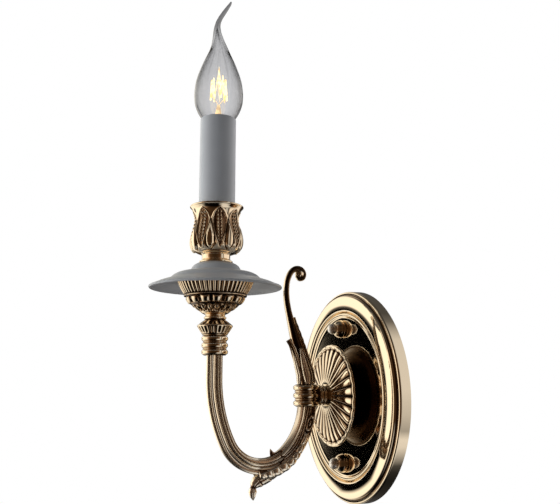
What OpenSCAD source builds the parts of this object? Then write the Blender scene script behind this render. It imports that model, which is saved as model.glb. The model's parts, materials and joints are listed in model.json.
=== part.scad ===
// Candle-style electric wall sconce: a round backplate, one scrolled arm and a single candle light.
// The wall is the plane y = 0 and the room lies towards -Y; +Z is up.
// The origin is the middle of the wall strap's two screw slots.

/* [Backplate] */
// Radius of the backplate where it meets the wall
plate_r = 74; // [73:0.5:76]
// Thickness of the pressed brass sheet
sheet = 1.2; // [0.8:0.1:1.3]
// Distance from the wall to the flat field inside the flange
field_depth = 9.5; // [9.5:0.1:10.5]
// Rim radius of the scalloped rosette
rosette_r = 35.4; // [33:0.2:37]
// Distance from the wall to the top of the rosette's hub
rosette_top = 24; // [23:0.2:25]
// Distance between the two ball nuts
nut_spacing = 94; // [92:1:96]

/* [Wall strap] */
// Length of the strap that is screwed to the wall
strap_length = 110; // [106:1:120]
// Width of the strap
strap_width = 20; // [18:1:26]
// Thickness of the strap
strap_thick = 1.6; // [1.2:0.1:1.8]
// Distance between the two wall screws
screw_spacing = 70; // [68:1:72]
// End-to-end length of a wall screw slot
slot_length = 10; // [8:0.5:11]
// Width of a wall screw slot
slot_width = 4.8; // [4:0.1:5.5]

/* [Arm] */
// Distance from the wall to the candle's axis
candle_reach = 106; // [104:0.5:110]
// Outer radius of the reeded arm tube
arm_r = 5.5; // [5.4:0.1:5.8]
// Radius of the wire way through the arm
arm_bore_r = 4; // [3.6:0.1:4.2]
// Radius of the long bend under the candle
outer_bend_r = 100; // [95:1:110]
// Radius of the tight bend at the bottom
bottom_bend_r = 27; // [26:0.5:29]
// Radius of the bend that rises to the collar
rise_bend_r = 47.5; // [45:0.5:50]
// Angle turned by the long bend
outer_turn = 25.5; // [24:0.5:27]
// Angle turned by the rising bend
rise_turn = 46; // [44:0.5:48]

/* [Candle] */
// Outer radius of the candle sleeve
sleeve_r = 12.6; // [12.4:0.1:12.8]
// Height of the sleeve's open end
sleeve_top = 193; // [190:0.5:196]
// Radius of the drip pan
pan_r = 45.3; // [42:0.5:50]
// Largest radius of the glass bulb
bulb_r = 17.5; // [17:0.1:18]

/* [Hidden] */
$fn = 96;

// Colours of the finishes
brass = "#c9a566";
dark_brass = "#a9874c";
satin_white = "#c9ccd0";
steel = "#b4b7bb";

// Fits: a tapped or sliding pair, and a gap between pieces that turn past each other
running_gap = 0.05;
face_gap = 0.1;

// M4 studs and the ball nuts on them
stud_r = 2;
stud_end = 15;
washer_r = 5.6;
washer_thick = 0.6;
ball_nut_r = 6.2;
ball_r = 2.9;
washer_depth = field_depth + face_gap;
nut_depth = washer_depth + washer_thick + face_gap;

// M10 tubes: the short nipple through the wall plate and the long rod through the candle
thread_r = 5;
tube_bore_r = 3.6;
nipple_back = 4;

// Centres of the arm's three bends, as [y, z], and where the arm ends in the collar
outer_centre = [-candle_reach + outer_bend_r, 12];
bottom_centre = outer_centre
    - (outer_bend_r - bottom_bend_r) * [cos(outer_turn), sin(outer_turn)];
rise_centre = bottom_centre
    - (rise_bend_r - bottom_bend_r) * [cos(rise_turn), -sin(rise_turn)];
collar_y = rise_centre.x + rise_bend_r;
collar_r = 9.2;
collar_half = 7.6;
arm_top = 33;
lap_turn = 0.5;
lap_shave = 0.03;

// Heights on the candle's axis
ferrule_base = 27;
knop_base = 40.4;
cup_base = 53.2;
pan_top = 89.4;
bowl_floor = 99;
rod_top = 111;
holder_base = 163;
cap_base = 170;
cap_r = 6.9;
glass_base = 187;
bulb_belly = 211;
stem_top = 204;

// Sheathed wires
wire_r = 0.8;
wire_gap = 1.1;

// ---- Shapes shared by several pieces ----

function arc(centre, r, from, to, steps) =
    [for (i = [0:steps]) centre + r * [cos(from + (to - from) * i / steps),
                                       sin(from + (to - from) * i / steps)]];

function unit(v) = v / norm(v);

function side(p, q) = let (d = unit(q - p)) [-d.y, d.x];

// Points at a distance t to the left of an open line of points
function beside(p, t) =
    [for (i = [0:len(p) - 1])
        p[i] + t * unit(side(p[max(i - 1, 0)], p[max(i, 1)])
                        + side(p[min(i, len(p) - 2)], p[min(i + 1, len(p) - 1)]))];

function reversed(p) = [for (i = [len(p) - 1:-1:0]) p[i]];

// A sheet of even thickness whose outer side is the line of points
function sheet_outline(p, t) = concat(p, reversed(beside(p, t)));

function in_plane(x, points) = [for (p = points) [x, p.x, p.y]];

function tangent(path, i) =
    unit(path[min(i + 1, len(path) - 1)] - path[max(i - 1, 0)]);

// Ring of points round a path that lies close to a plane of constant x
function ring(path, i, wide, deep, sides) =
    let (t = tangent(path, i),
         u = unit([1, 0, 0] - t.x * t),
         v = cross(t, u))
    [for (k = [0:sides - 1])
        path[i] + wide * cos(360 * k / sides) * u + deep * sin(360 * k / sides) * v];

// Solid swept along a path; widths run along X and depths run across it
module sweep(path, widths, depths, sides = 12) {
    n = len(path);
    points = [for (i = [0:n - 1]) each ring(path, i, widths[i], depths[i], sides)];
    walls = [for (i = [0:n - 2], k = [0:sides - 1])
        [i * sides + k, (i + 1) * sides + k,
         (i + 1) * sides + (k + 1) % sides, i * sides + (k + 1) % sides]];
    start = [for (k = [0:sides - 1]) k];
    finish = [for (k = [sides - 1:-1:0]) (n - 1) * sides + k];
    polyhedron(points, concat([start], walls, [finish]));
}

module wire(path, r = wire_r) {
    even = [for (p = path) r];
    sweep(path, even, even, 8);
}

// Local Z points from the wall into the room
module facing_room() {
    rotate([90, 0, 0]) children();
}

// Local X and Y become Y and Z, so a flat outline stands in the arm's own plane
module in_arm_plane() {
    rotate([90, 0, 90]) children();
}

module on_candle_axis() {
    translate([0, -candle_reach, 0]) children();
}

module lathe(points) {
    rotate_extrude() polygon(points);
}

// Row of rounded rings on a round core
module ring_stack(heights, core_r, ring_r, bead, low, high) {
    rotate_extrude() {
        translate([0, low]) square([core_r, high - low]);
        for (h = heights) translate([ring_r - bead, h]) circle(bead);
        for (h = heights) translate([0, h - bead]) square([ring_r - bead, 2 * bead]);
    }
}

module hex_nut(across_flats, bore_r, thick) {
    difference() {
        cylinder(h = thick, r = across_flats / sqrt(3), $fn = 6);
        translate([0, 0, -1]) cylinder(h = thick + 2, r = bore_r);
    }
}

module slotted_screw(head_r, head_h, shank_r, shank_h) {
    difference() {
        cylinder(h = head_h, r = head_r);
        translate([-head_r, -0.3, head_h / 2]) cube([2 * head_r, 0.6, head_h]);
    }
    translate([0, 0, -shank_h]) cylinder(h = shank_h, r = shank_r);
}

module at_both_nuts() {
    for (end = [-1, 1]) translate([0, 0, end * nut_spacing / 2]) children();
}

// ---- Wall side ----

module wall_strap() color(steel) facing_room() difference() {
    linear_extrude(strap_thick) {
        square([strap_width, strap_length - strap_width], center = true);
        for (end = [-1, 1]) translate([0, end * (strap_length - strap_width) / 2])
            circle(strap_width / 2);
    }
    translate([0, 0, -1]) cylinder(h = 4, r = 7);
    for (end = [-1, 1]) {
        translate([0, end * nut_spacing / 2, -1]) cylinder(h = 4, r = stud_r);
        translate([0, end * screw_spacing / 2, -1]) linear_extrude(4) {
            square([slot_width, slot_length - slot_width], center = true);
            for (s = [-1, 1]) translate([0, s * (slot_length - slot_width) / 2])
                circle(slot_width / 2);
        }
    }
    translate([0, -20, -1]) cylinder(h = 4, r = 1.5);
}

module stud_pair() color(steel) at_both_nuts() facing_room()
    cylinder(h = stud_end, r = stud_r);

module stud_locknuts() color(steel) at_both_nuts() facing_room()
    translate([0, 0, strap_thick]) hex_nut(7, stud_r, 3.2);

// Outer side of the pressed plate, from the wall to the edge of its middle hole
function plate_face() = concat(
    [[plate_r, 0], [plate_r - 0.3, 3.5]],
    arc([plate_r - 7.5, 5.5], 6.5, 15, 140, 12),
    [[plate_r - 14.4, 8.9], [plate_r - 15.6, 9.2]],
    arc([plate_r - 17.6, 9.6], 1.7, 40, 150, 5),
    [[plate_r - 21, field_depth], [thread_r + running_gap, field_depth]]);

module backplate() color(brass) difference() {
    facing_room() lathe(sheet_outline(plate_face(), sheet));
    at_both_nuts() facing_room() cylinder(h = 20, r = stud_r + 0.3);
}

module rosette() color(brass) facing_room() lathe([
    [thread_r + running_gap, field_depth], [9, field_depth], [10, 19.5], [17, 18.8],
    [18, 12], [18.5, field_depth], [21, field_depth], [25, 11.6], [31, 15.6],
    [rosette_r - 0.4, 18.2], [rosette_r, 19], [rosette_r - 0.3, 19.8],
    [rosette_r - 1.4, 20.2], [30, 20.8], [22, 22.2], [14, 23.4], [9, rosette_top],
    [thread_r + running_gap, rosette_top]]);

module plate_washer() color(brass) facing_room() translate([0, 0, washer_depth])
    difference() {
        cylinder(h = washer_thick, r = washer_r);
        translate([0, 0, -1]) cylinder(h = 3, r = stud_r + 0.2);
    }

module ball_nut() color(brass) facing_room() translate([0, 0, nut_depth]) lathe(concat(
    [[0, 5], [stud_r + running_gap, 5], [stud_r + running_gap, 0]],
    arc([0, 0], ball_nut_r, 0, 75, 8),
    arc([0, ball_nut_r + 1.8], ball_r, -43, 90, 10)));

module upper_washer() translate([0, 0, nut_spacing / 2]) plate_washer();
module lower_washer() translate([0, 0, -nut_spacing / 2]) plate_washer();
module upper_ball_nut() translate([0, 0, nut_spacing / 2]) ball_nut();
module lower_ball_nut() translate([0, 0, -nut_spacing / 2]) ball_nut();

// ---- Arm ----

nipple_front = -collar_y - arm_r - 0.1;

module nipple_tube() color(dark_brass) facing_room() translate([0, 0, nipple_back])
    difference() {
        cylinder(h = nipple_front - nipple_back, r = thread_r);
        translate([0, 0, -1]) cylinder(h = 60, r = tube_bore_r);
    }

module nipple_washer() color(steel) facing_room() translate([0, 0, field_depth - sheet - 1])
    difference() {
        cylinder(h = 1, r = 9);
        translate([0, 0, -1]) cylinder(h = 3, r = thread_r);
    }

module nipple_nut() color(steel) facing_room() translate([0, 0, nipple_back + 0.3])
    hex_nut(14, thread_r, field_depth - sheet - 1.3 - nipple_back);

module wall_stub() color(brass) difference() {
    facing_room() ring_stack([26, 29], 6.2, 7.4, 1.3, rosette_top, 34);
    facing_room() cylinder(h = 60, r = thread_r);
    translate([0, collar_y, -20]) cylinder(h = 40, r = collar_r);
}

module arm_collar() color(brass) difference() {
    translate([0, collar_y, 0])
        ring_stack([-5.3, 0, 5.3], 8, collar_r, 2.2, -collar_half, collar_half);
    translate([0, collar_y, -10]) cylinder(h = 10 + rise_centre.y, r = arm_r);
    translate([0, collar_y, -6]) cylinder(h = 9.5, r = arm_bore_r);
    translate([0, collar_y, 4.5]) cylinder(h = 5, r = 2.5);
    facing_room() cylinder(h = nipple_front, r = thread_r);
    facing_room() cylinder(h = -collar_y, r = tube_bore_r);
}

// One bend of the arm in its own plane
module bend(centre, bend_r, from, turn) {
    translate(centre) rotate_extrude(angle = turn, start = from)
        translate([bend_r, 0]) children();
}

// Section of a pipe whose wall is shaved by the same amount inside and out
module pipe_section(outer, inner, shave = 0) {
    difference() {
        circle(outer - shave);
        circle(inner + shave);
    }
}

// The middle bend runs a little way into the walls of the bends at its two ends
module arm_tube() color(brass) {
    in_arm_plane() {
        bend(outer_centre, outer_bend_r, 180, outer_turn) pipe_section(arm_r, arm_bore_r);
        bend(bottom_centre, bottom_bend_r, 180 + outer_turn - lap_turn,
             180 - outer_turn - rise_turn + 2 * lap_turn)
            pipe_section(arm_r, arm_bore_r, lap_shave);
        bend(rise_centre, rise_bend_r, 360 - rise_turn, rise_turn)
            pipe_section(arm_r, arm_bore_r);
    }
    on_candle_axis() translate([0, 0, outer_centre.y])
        linear_extrude(arm_top - outer_centre.y) pipe_section(arm_r, arm_bore_r);
}

// Leaf sheath round the arm, with a free tip that curls away below it
sheath_r = 6.9;
sheath_turn = 26;
leaf_tip = [[-60, -50.6], [-64, -53.6], [-68.5, -56.6], [-73, -59.4], [-77, -62.6],
            [-80, -66], [-81.5, -69]];
leaf_tip_wide = [3.2, 5.4, 6.4, 6.0, 4.8, 3.2, 1.4];
leaf_tip_deep = [0.5, 0.9, 1.1, 1.2, 1.3, 1.3, 1.0];

module arm_leaf() color(brass) {
    in_arm_plane() {
        bend(rise_centre, rise_bend_r, 360 - rise_turn, rise_turn - 4)
            pipe_section(sheath_r, arm_r);
        bend(bottom_centre, bottom_bend_r, 360 - rise_turn - sheath_turn, sheath_turn + lap_turn)
            pipe_section(sheath_r, arm_r, lap_shave);
    }
    sweep(in_plane(0, leaf_tip), leaf_tip_wide, leaf_tip_deep);
}

// Stem of the upper scroll as [y, z], from the collar to the volute's eye
scroll_stem = [[collar_y, collar_half], [collar_y, 8.6], [-39.4, 12.4], [-40.6, 18],
               [-42.2, 24.5], [-44.4, 31.5], [-46.6, 38.5], [-48.8, 46], [-51, 54],
               [-52.8, 62], [-53.8, 70], [-53.8, 76], [-52.9, 81.4], [-50.6, 86],
               [-47.2, 88.9], [-44, 88.6]];
scroll_wide = [6, 6, 6, 6, 5.6, 4.8, 3.8, 3, 2.5, 2.3, 2.2, 2.2, 2.2, 2.2, 2.2, 1.8];
scroll_deep = [6, 6, 6.2, 6.1, 5.6, 4.8, 3.9, 3, 2.5, 2.3, 2.2, 2.2, 2.2, 2.2, 2.2, 1.8];
volute_eye = [-43.4, 85.6];

module scroll() color(brass) {
    sweep(in_plane(0, scroll_stem), scroll_wide, scroll_deep);
    translate([0, volute_eye.x, volute_eye.y]) sphere(3.4);
    translate([0, collar_y, 4.5]) cylinder(h = 5, r = 2.5);
}

// ---- Column ----

module ring_ferrule() color(brass) on_candle_axis() difference() {
    ring_stack([29.2, 33.7, 38.2], 7.8, 9, 2, ferrule_base, knop_base);
    translate([0, 0, 20]) cylinder(h = arm_top - 20, r = arm_r);
    translate([0, 0, 30]) cylinder(h = 20, r = thread_r);
}

module knop() color(brass) on_candle_axis() lathe(concat(
    [[thread_r, knop_base], [8.6, knop_base], [9, 41.6], [11.6, 45.4], [12, 46.5],
     [11.5, 47.6], [8.2, 50], [7, 50.9]],
    arc([6.6, 52.1], 1.1, -60, 60, 5),
    [[6.8, cup_base], [thread_r, cup_base]]));

module fluted_cup() color(brass) on_candle_axis() lathe([
    [thread_r, cup_base], [6.7, cup_base], [6.9, 54.4], [9.6, 55.6], [9.9, 56.6],
    [11, 57.8], [14, 59.3], [17.4, 61.6], [19.4, 64.2], [20, 66.6], [21.1, 67],
    [21.1, 68], [22, 68.4], [24.2, 72.4], [26, 76.2], [27.4, 79.6],
    [25.8, 79.6], [24.2, 76.2], [20.2, 68.6], [17.6, 64.8], [13, 61.2], [thread_r, 60]]);

// Upper side of the drip pan, from its hole out to its rim
function pan_face() = [
    [thread_r, pan_top], [11.4, pan_top], [14.6, 88.4], [16.6, 86.6], [17.6, 84.4],
    [20, 83.7], [25, 82.8], [28.6, 81.4], [30.8, 79.4], [33, 78.1], [38, 76.6],
    [42, 75], [44.4, 73.6], [pan_r, 72.2]];

module drip_pan() color(satin_white) on_candle_axis()
    lathe(concat(reversed(beside(pan_face(), -1.6)), pan_face()));

module candle_cup() color(brass) on_candle_axis() lathe([
    [thread_r, pan_top], [10.8, pan_top], [11.4, 90], [11.4, 90.8], [10, 91.6],
    [9.7, 92.4], [9.7, 95.4], [12, 96], [14.8, 97.2], [16.8, 99.4], [17.6, 102.4],
    [17.7, 105.4], [17, 109.6], [15.8, 114], [15, 118.4], [15.4, 122], [16.6, 125.4],
    [18.2, 128], [18.6, 128.8], [18.2, 129.6], [17.4, 129.4], [15, 126], [13.6, 122.4],
    [13, 118], [13, bowl_floor], [thread_r, bowl_floor]]);

module column_rod() color(dark_brass) on_candle_axis() translate([0, 0, arm_top])
    difference() {
        cylinder(h = rod_top - arm_top, r = thread_r);
        translate([0, 0, -1]) cylinder(h = 100, r = tube_bore_r);
    }

module column_washer() color(steel) on_candle_axis() translate([0, 0, bowl_floor])
    difference() {
        cylinder(h = 1, r = 9);
        translate([0, 0, -1]) cylinder(h = 3, r = thread_r);
    }

module column_nut() color(steel) on_candle_axis() translate([0, 0, bowl_floor + 1])
    hex_nut(14, thread_r, 3);

module candle_sleeve() color(satin_white) on_candle_axis() difference() {
    translate([0, 0, bowl_floor + 0.3]) cylinder(h = sleeve_top - bowl_floor - 0.3, r = sleeve_r);
    translate([0, 0, 90]) cylinder(h = 120, r = sleeve_r - 1);
}

// ---- Lampholder ----

module lampholder_base() color(steel) on_candle_axis() difference() {
    translate([0, 0, 104]) cylinder(h = 7, r = 7);
    translate([0, 0, 100]) cylinder(h = 20, r = thread_r);
}

module lampholder_bracket() color(steel) on_candle_axis() difference() {
    union() {
        translate([-10, -3.5, rod_top]) cube([20, 7, 1]);
        for (end = [-1, 1]) translate([end * 9.5 - 0.5, -3.5, rod_top]) cube([1, 7, 54]);
    }
    translate([0, 0, 100]) cylinder(h = 20, r = tube_bore_r);
}

module lampholder_body() color("ivory") on_candle_axis() difference() {
    translate([0, 0, holder_base]) cylinder(h = 25.6, r = 11);
    translate([0, 0, 166]) cylinder(h = 30, r = 8);
    translate([0, 0, 165]) cylinder(h = 4, r = 6);
    for (end = [-1, 1]) {
        translate([end * 9.5 - 0.5, -3.5, 160]) cube([1, 7, 5]);
        translate([0, end * 6.5, 160]) cylinder(h = 5, r = 2);
    }
    translate([0, 0, 160]) cylinder(h = 6, r = 1.2);
}

module lampholder_shell() color(brass) on_candle_axis() difference() {
    translate([0, 0, 169]) cylinder(h = glass_base - 169, r = 8);
    translate([0, 0, 160]) cylinder(h = 40, r = cap_r + 0.1);
}

module lampholder_contact() color(brass) on_candle_axis() {
    translate([-2, -1.5, 165]) cube([4, 3, 0.6]);
    translate([0, 0, 161]) cylinder(h = 4, r = 1.2);
}

module lampholder_screws() color(brass) on_candle_axis()
    for (end = [-1, 1]) translate([0, end * 6.5, 162]) rotate([180, 0, 0])
        slotted_screw(2.2, 1.2, 1.4, 3);

// ---- Bulb ----

// Outer side of the glass from its neck to the root of its flame tip
function glass_face() = [
    [6.7, glass_base], [8, 189.4], [11.1, 193], [13.9, 197], [15.8, 201], [17, 205],
    [bulb_r - 0.1, 208.6], [bulb_r, bulb_belly], [bulb_r - 0.2, 214.6], [16.7, 219.5],
    [15.6, 224], [14.3, 228], [12.6, 232.6], [10.8, 237], [8.8, 241.4], [7, 245.6],
    [5.4, 250], [4.2, 254]];

// Centre of the drawn-out tip: sideways bend and height
tip_bend = [[-0.5, 251], [-0.9, 254], [-1.5, 258], [-1.9, 262], [-1.6, 266], [-0.4, 270],
            [2, 274], [4.6, 278], [6.8, 281.6], [8.6, 284]];
tip_r = [4.6, 4.1, 3.2, 2.6, 2, 1.8, 1.8, 1.6, 1.2, 0.6];
tip_turn = 68;

module bulb_glass() color("#d8dde0", 0.35) on_candle_axis() {
    lathe(sheet_outline(glass_face(), 0.7));
    rotate([0, 0, tip_turn - 90]) sweep(in_plane(0, tip_bend), tip_r, tip_r);
}

module bulb_cap() color(steel) on_candle_axis() lathe([
    [4.5, cap_base], [5.6, cap_base], [cap_r, cap_base + 1.4], [cap_r, glass_base],
    [6.2, glass_base], [6.1, 186], [6.1, cap_base + 1.8], [4.5, cap_base + 0.8]]);

module bulb_insulator() color("#2a2a2c") on_candle_axis() lathe([
    [2.6, 167.4], [3.4, 167.4], [4.5, 168.6], [5.4, cap_base], [4.5, cap_base],
    [4.5, cap_base + 0.8], [2.6, cap_base + 0.8]]);

module bulb_contact() color(steel) on_candle_axis() lathe([
    [0, 165.9], [1.4, 165.9], [2.3, 166.5], [2.5, 167.3], [2.5, 168.4], [0, 168.4]]);

module bulb_stem() color("#dfe4e6", 0.5) on_candle_axis() lathe([
    [0, 189.6], [5.6, 189.6], [3.6, 193], [2.4, 197], [1.7, 201], [1.2, stem_top], [0, stem_top]]);

// Two lead wires that carry the filament from the stem
module bulb_lead_wires() color(steel) on_candle_axis() for (end = [-1, 1])
    wire([[0, 0.6 * end, stem_top], [0, 0.6 * end, stem_top + 0.6], [0, 1.8 * end, 206.4],
          [0, 3.8 * end, 209], [0, 5.6 * end, 211.8]], 0.25);

// Zigzag filament in the shape of a tent
filament_points = 15;
function filament_path() = [for (i = [0:filament_points - 1])
    let (across = 2 * i / (filament_points - 1) - 1, high = i % 2)
    [0, 5.6 * across, high == 0 ? 209 + 3 * abs(across) : 232 - 9 * abs(across)]];

module bulb_filament() color("orange") on_candle_axis() for (i = [0:filament_points - 2])
    let (p = filament_path()) wire([p[i], p[i + 1]], 0.3);

// ---- Wiring ----

module terminal_block() color("white") difference() {
    translate([-9, -7.8, 13]) cube([18, 7.8 - strap_thick, 14]);
    for (end = [-1, 1]) translate([end * 4, -4, 12]) cylinder(h = 16, r = 1.2);
    for (end = [-1, 1], z = [16.5, 23.5]) translate([end * 4, 0, z]) facing_room()
        translate([0, 0, 4]) cylinder(h = 5, r = 1.5);
}

module terminal_screws() color(steel) for (end = [-1, 1], z = [16.5, 23.5])
    translate([end * 4, 0, z]) facing_room() translate([0, 0, 5.2]) cylinder(h = 2, r = 1.5);

module earth_screw() color(brass) translate([0, 0, -20]) facing_room()
    translate([0, 0, 2.4]) slotted_screw(2.8, 1.4, 1.5, 2.4);

// Wire way through the arm as [y, z], from the nipple to the foot of the column
wire_run = concat(
    [[-4.2, 0], [-12, 0], [-26, 0], [collar_y + 3, 0], [collar_y + 0.8, -1], [collar_y, -3]],
    arc(rise_centre, rise_bend_r, 356, 360 - rise_turn, 6),
    arc(bottom_centre, bottom_bend_r, 350 - rise_turn, 190 + outer_turn, 11),
    arc(outer_centre, outer_bend_r, 180 + outer_turn, 182, 4),
    [[-candle_reach, 20], [-candle_reach, 60], [-candle_reach, 112]]);

function wire_route(end) = concat(
    [[4 * end, -4, 15], [3.4 * end, -3.4, 12.4], [2.4 * end, -2.9, 9], [1.6 * end, -2.8, 4],
     [1.2 * end, -3.1, 1.2]],
    [for (p = wire_run) [wire_gap * end, p.x, p.y]]);

module live_wire() color("saddlebrown") wire(concat(wire_route(1),
    [[1.2, -candle_reach - 3, 130], [1, -candle_reach - 6, 150], [0, -candle_reach - 6.5, 158]]));

module neutral_wire() color("steelblue") wire(concat(wire_route(-1),
    [[-1.2, -candle_reach + 3, 130], [-1, -candle_reach + 6, 150],
     [0, -candle_reach + 6.5, 158]]));

module earth_wire() color("green") wire([
    [0, -4.45, -23], [0, -4.45, -19.4], [0, -4.9, -16], [0, -5.6, -12], [0, -6.6, -8.6]], 0.6);

wall_strap();
stud_pair();
stud_locknuts();
backplate();
rosette();
upper_washer();
upper_ball_nut();
lower_washer();
lower_ball_nut();
nipple_tube();
nipple_washer();
nipple_nut();
wall_stub();
arm_collar();
arm_tube();
arm_leaf();
scroll();
ring_ferrule();
knop();
fluted_cup();
drip_pan();
candle_cup();
column_rod();
column_washer();
column_nut();
candle_sleeve();
lampholder_base();
lampholder_bracket();
lampholder_body();
lampholder_shell();
lampholder_contact();
lampholder_screws();
bulb_glass();
bulb_cap();
bulb_insulator();
bulb_contact();
bulb_stem();
bulb_lead_wires();
bulb_filament();
terminal_block();
terminal_screws();
earth_screw();
live_wire();
neutral_wire();
earth_wire();
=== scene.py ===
"""Looks of the candle-style wall sconce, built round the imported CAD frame."""
import json
import math

import bmesh
import bpy
import numpy as np
from mathutils import Matrix, Vector


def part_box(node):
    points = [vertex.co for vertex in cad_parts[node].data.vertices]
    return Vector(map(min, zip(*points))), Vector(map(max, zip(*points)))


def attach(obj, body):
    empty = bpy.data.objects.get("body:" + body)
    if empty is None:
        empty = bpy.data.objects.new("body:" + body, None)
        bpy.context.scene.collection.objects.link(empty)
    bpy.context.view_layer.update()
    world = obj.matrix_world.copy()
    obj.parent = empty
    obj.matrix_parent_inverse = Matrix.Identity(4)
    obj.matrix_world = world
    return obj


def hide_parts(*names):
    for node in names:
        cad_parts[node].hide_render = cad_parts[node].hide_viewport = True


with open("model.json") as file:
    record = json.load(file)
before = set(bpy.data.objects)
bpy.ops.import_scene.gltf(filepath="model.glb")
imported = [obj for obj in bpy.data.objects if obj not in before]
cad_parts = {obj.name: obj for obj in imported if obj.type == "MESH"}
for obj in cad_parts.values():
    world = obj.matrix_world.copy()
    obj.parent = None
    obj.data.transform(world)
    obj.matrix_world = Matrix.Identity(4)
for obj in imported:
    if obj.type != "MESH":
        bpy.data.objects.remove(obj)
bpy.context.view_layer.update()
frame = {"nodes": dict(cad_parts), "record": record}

# Shapes are worked out in millimetres and turned into metres when a mesh is made.
MM = 0.001
TURN = 2 * math.pi
# Edges that turn by more than a piece's crease angle are shaded sharp, and by this one none is
NO_CREASE = 180


def corners(node):
    """Lowest and highest corner of a CAD node in millimetres."""
    low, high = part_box(node)
    return np.array(low) / MM, np.array(high) / MM


def base_of(node):
    return corners(node)[0][2]


PLATE_R = corners("backplate")[1][0]
CANDLE_Y = float(np.mean([c[1] for c in corners("candle_sleeve")]))
SLEEVE_R = corners("candle_sleeve")[1][0]
SLEEVE_TOP = corners("candle_sleeve")[1][2]
PAN_R = corners("drip_pan")[1][0]
ARM_R = corners("arm_tube")[1][0]
COLLAR_Y = float(np.mean([c[1] for c in corners("arm_collar")]))
BULB_R = corners("bulb_glass")[1][0]

# ---- Outlines ----


def arc(centre, radius, start, stop, steps=10):
    """Points on an arc; angles are in degrees."""
    angles = np.radians(np.linspace(start, stop, steps + 1))
    return [(centre[0] + radius * math.cos(a), centre[1] + radius * math.sin(a)) for a in angles]


def curve(points, steps=8):
    """Smooth line through all the points."""
    p = np.array(points, float)
    p = np.vstack([2 * p[0] - p[1], p, 2 * p[-1] - p[-2]])
    t = np.linspace(0, 1, steps, endpoint=False)[:, None]
    runs = []
    for a, b, c, d in zip(p, p[1:], p[2:], p[3:]):
        runs.append(0.5 * (2 * b + (c - a) * t + (2 * a - 5 * b + 4 * c - d) * t ** 2
                           + (3 * b - a - 3 * c + d) * t ** 3))
    return [tuple(q) for q in np.vstack(runs)] + [tuple(p[-2])]


def fine(points, step):
    """The same closed line with no gap between points longer than step."""
    p = [np.array(q, float) for q in points]
    out = []
    for a, b in zip(p, p[1:] + p[:1]):
        gap = np.linalg.norm(b - a)
        if gap < 1e-6:
            continue
        parts = max(1, math.ceil(gap / step))
        out += [a + (b - a) * i / parts for i in range(parts)]
    return np.array(out)


def smooth_step(x, low, high):
    t = np.clip((x - low) / (high - low), 0, 1)
    return t * t * (3 - 2 * t)


def bump(x, width):
    """Rounded hill of height 1 round x = 0."""
    return np.exp(-(x / width) ** 2)


# ---- Meshes ----


def ring_faces(rows, columns, rows_wrap):
    """Quads between rows of points that each close on themselves."""
    r = np.arange(rows if rows_wrap else rows - 1)
    r, c = np.meshgrid(r, np.arange(columns), indexing="ij")
    r1 = (r + 1) % rows
    c1 = (c + 1) % columns
    quads = np.stack([r * columns + c, r * columns + c1, r1 * columns + c1, r1 * columns + c], -1)
    return quads.reshape(-1, 4).tolist()


def bar_faces(rows, columns):
    """The same rows of points as a bar that is closed at both ends."""
    last = (rows - 1) * columns
    ends = [list(range(columns))[::-1], list(range(last, last + columns))]
    return ring_faces(rows, columns, False) + ends


def make_piece(name, points, faces, material, patina_and_shade=None, crease=40):
    """Smooth-shaded object from points in millimetres in the part's frame. The per-point darkness
    values, from 0 to 1, say how dark each point is coloured: patina in the hollows, and painted
    shade on some pieces."""
    mesh = bpy.data.meshes.new(name)
    mesh.from_pydata((np.asarray(points, float) * MM).tolist(), [], faces)
    if patina_and_shade is not None:
        layer = mesh.attributes.new("patina_and_shade", "FLOAT", "POINT")
        layer.data.foreach_set("value", np.asarray(patina_and_shade, np.float32).ravel())
    work = bmesh.new()
    work.from_mesh(mesh)
    bmesh.ops.remove_doubles(work, verts=work.verts, dist=2e-6)
    bmesh.ops.recalc_face_normals(work, faces=work.faces)
    work.to_mesh(mesh)
    work.free()
    mesh.shade_smooth()
    mesh.set_sharp_from_angle(angle=math.radians(crease))
    mesh.materials.append(material)
    piece = bpy.data.objects.new(name, mesh)
    bpy.context.scene.collection.objects.link(piece)
    return piece


def on_candle(p):
    """Local Z is the candle's axis, with heights as in the part's frame."""
    return p + np.array([0, CANDLE_Y, 0])


def on_plate(p):
    """Local Z runs from the wall into the room."""
    return np.stack([p[..., 0], -p[..., 2], p[..., 1]], -1)


def at_nut(height):
    return lambda p: on_plate(p) + np.array([0, 0, height])


def on_collar(p):
    return p + np.array([0, COLLAR_Y, 0])


def turned(name, outline, material, place, carve=None, around=160, crease=40):
    """Closed (radius, height) outline turned round. carve(radius, height, angle) gives how far
    each point moves out along the outline's normal and how dark it is coloured: patina in the
    hollows, and painted shade on some pieces."""
    line = np.asarray(outline, float)
    along = np.roll(line, -1, 0) - np.roll(line, 1, 0)
    along /= np.linalg.norm(along, axis=1)[:, None] + 1e-12
    ahead = np.roll(line, -1, 0)
    turns_left = np.sum(line[:, 0] * ahead[:, 1] - ahead[:, 0] * line[:, 1]) > 0
    normal = np.stack([along[:, 1], -along[:, 0]], 1) * (1 if turns_left else -1)
    angle = np.linspace(0, TURN, around, endpoint=False)[None, :]
    radius = line[:, :1]
    height = line[:, 1:]
    push, patina_and_shade = carve(radius, height, angle) if carve else (0, 0)
    push = np.broadcast_to(push, (len(line), around))
    patina_and_shade = np.broadcast_to(patina_and_shade, (len(line), around))
    r = np.maximum(radius + push * normal[:, :1], 0)
    z = height + push * normal[:, 1:]
    points = np.stack([r * np.cos(angle), r * np.sin(angle), z], -1).reshape(-1, 3)
    faces = ring_faces(len(line), around, True)
    return make_piece(name, place(points), faces, material, patina_and_shade, crease)


def right_of(path):
    """Unit normals on the right-hand side of a path in the arm's plane."""
    along = np.gradient(path, axis=0)
    along /= np.linalg.norm(along, axis=1)[:, None]
    return np.stack([along[:, 1], -along[:, 0]], 1)


def beside(path, x, side):
    """Points at x, and at a distance to the right of each point of a path in the arm's plane."""
    right = right_of(path)
    y = path[:, :1] + side * right[:, :1]
    z = path[:, 1:] + side * right[:, 1:]
    return np.stack([x, y, z], -1)


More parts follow.
